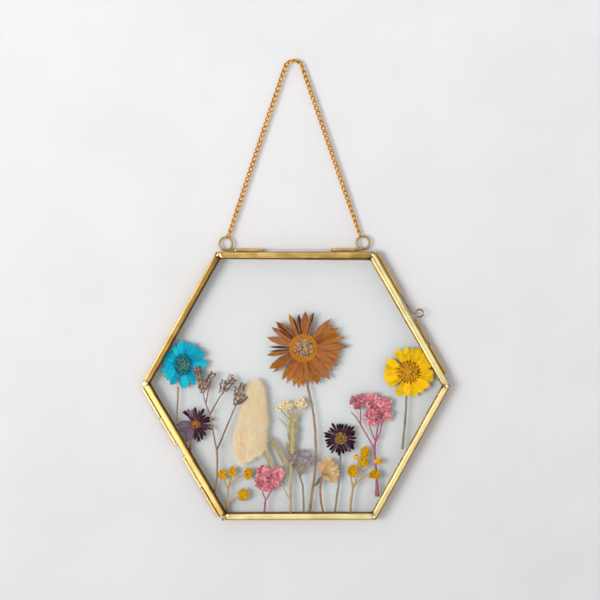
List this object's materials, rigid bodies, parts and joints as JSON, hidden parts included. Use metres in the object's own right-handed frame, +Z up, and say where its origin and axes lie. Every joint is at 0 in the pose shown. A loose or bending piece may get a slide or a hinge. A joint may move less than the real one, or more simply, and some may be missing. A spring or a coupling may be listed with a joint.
{
  "type": "pressed_flower_frame",
  "caption": "Hexagonal hinged brass and glass frame holding pressed dried flowers, hung from a fine gold-coloured chain, with a sliding wire bolt",
  "frame": {"origin": "Hang point: where the chain rests on its peg, under the top of its bend, on the frame's middle line", "axes": "+Z up, +Y from the viewer to the wall (the back half is on the +Y side), +X to the right as seen from the front"},
  "size_m": [0.1635, 0.0084, 0.2444],
  "materials": {
    "glass": "clear window glass, glossy, faintly green",
    "frame_brass": "thin folded brass strip, softly polished, slightly tarnished and wavy",
    "wire_brass": "round brass wire, duller than the strips",
    "chain_metal": "gold-coloured fine twisted chain",
    "dry_stem": "dried stem, matte, thin as paper",
    "blue_flower": "dyed dried petals, matte",
    "plum_flower": "crumpled dried petals, matte",
    "brown_flower": "orange-brown dried petals, matte, veined",
    "maroon_flower": "dark dried petals, matte",
    "yellow_flower": "yellow dried petals and round heads, matte",
    "pink_flower": "crumpled dried florets, matte",
    "lilac_flower": "crumpled dried bracts, matte",
    "pale_flower": "soft cream to tan dried bracts and bristles, matte"
  },
  "bodies": {
    "back_half": {"back_glass": "glass", "back_rail_bottom": "frame_brass", "back_rail_lower_left": "frame_brass", "back_rail_lower_right": "frame_brass", "back_rail_top": "frame_brass", "back_rail_upper_left": "frame_brass", "back_rail_upper_right": "frame_brass", "blue_daisy_disc": "blue_flower", "blue_daisy_petals": "blue_flower", "blue_daisy_stem": "dry_stem", "brown_daisy_disc": "brown_flower", "brown_daisy_petals": "brown_flower", "brown_daisy_stem": "dry_stem", "bunny_tail_head": "pale_flower", "chain": "chain_metal", "cream_everlasting": "pale_flower", "cream_leaf_left": "dry_stem", "cream_leaf_right": "dry_stem", "hanger_ring_left": "wire_brass", "hanger_ring_right": "wire_brass", "hinge_knuckle_back_lower": "frame_brass", "hinge_knuckle_back_upper": "frame_brass", "hinge_pin_lower": "wire_brass", "hinge_pin_upper": "wire_brass", "latch_keeper": "frame_brass", "lilac_statice_head": "lilac_flower", "lilac_statice_stem": "dry_stem", "maroon_daisy_disc": "maroon_flower", "maroon_daisy_petals": "maroon_flower", "maroon_daisy_stem": "dry_stem", "plum_daisy_disc": "plum_flower", "plum_daisy_petals": "plum_flower", "plum_daisy_stem": "dry_stem", "sea_lavender_left_branch": "dry_stem", "sea_lavender_right_branch": "dry_stem", "sea_lavender_stem": "dry_stem", "small_pink_head": "pink_flower", "small_pink_stem": "dry_stem", "straw_flower_head": "pale_flower", "straw_flower_stem": "dry_stem", "tall_pink_head": "pink_flower", "tall_pink_left_twig": "pink_flower", "tall_pink_stem": "dry_stem", "yellow_buttons_left": "yellow_flower", "yellow_buttons_right": "yellow_flower", "yellow_daisy_disc": "yellow_flower", "yellow_daisy_petals": "yellow_flower", "yellow_daisy_stem": "dry_stem"},
    "front_half": {"front_glass": "glass", "front_rail_bottom": "frame_brass", "front_rail_lower_left": "frame_brass", "front_rail_lower_right": "frame_brass", "front_rail_top": "frame_brass", "front_rail_upper_left": "frame_brass", "front_rail_upper_right": "frame_brass", "hinge_knuckle_front_lower": "frame_brass", "hinge_knuckle_front_upper": "frame_brass", "latch_guide_lower": "frame_brass", "latch_guide_upper": "frame_brass"},
    "bolt": {"latch_bolt": "wire_brass"}
  },
  "joints": [
    {"name": "front_hinge", "type": "hinge", "parent": "back_half", "child": "front_half", "pos_m": [-0.06008, -0.00215, -0.20664], "axis": [0.5073, 0, -0.8618], "range_deg": [0, 170]},
    {"name": "bolt_slide", "type": "slide", "parent": "front_half", "child": "bolt", "axis": [-0.4932, 0, 0.8699], "range_m": [0, 0.0095]}
  ]
}
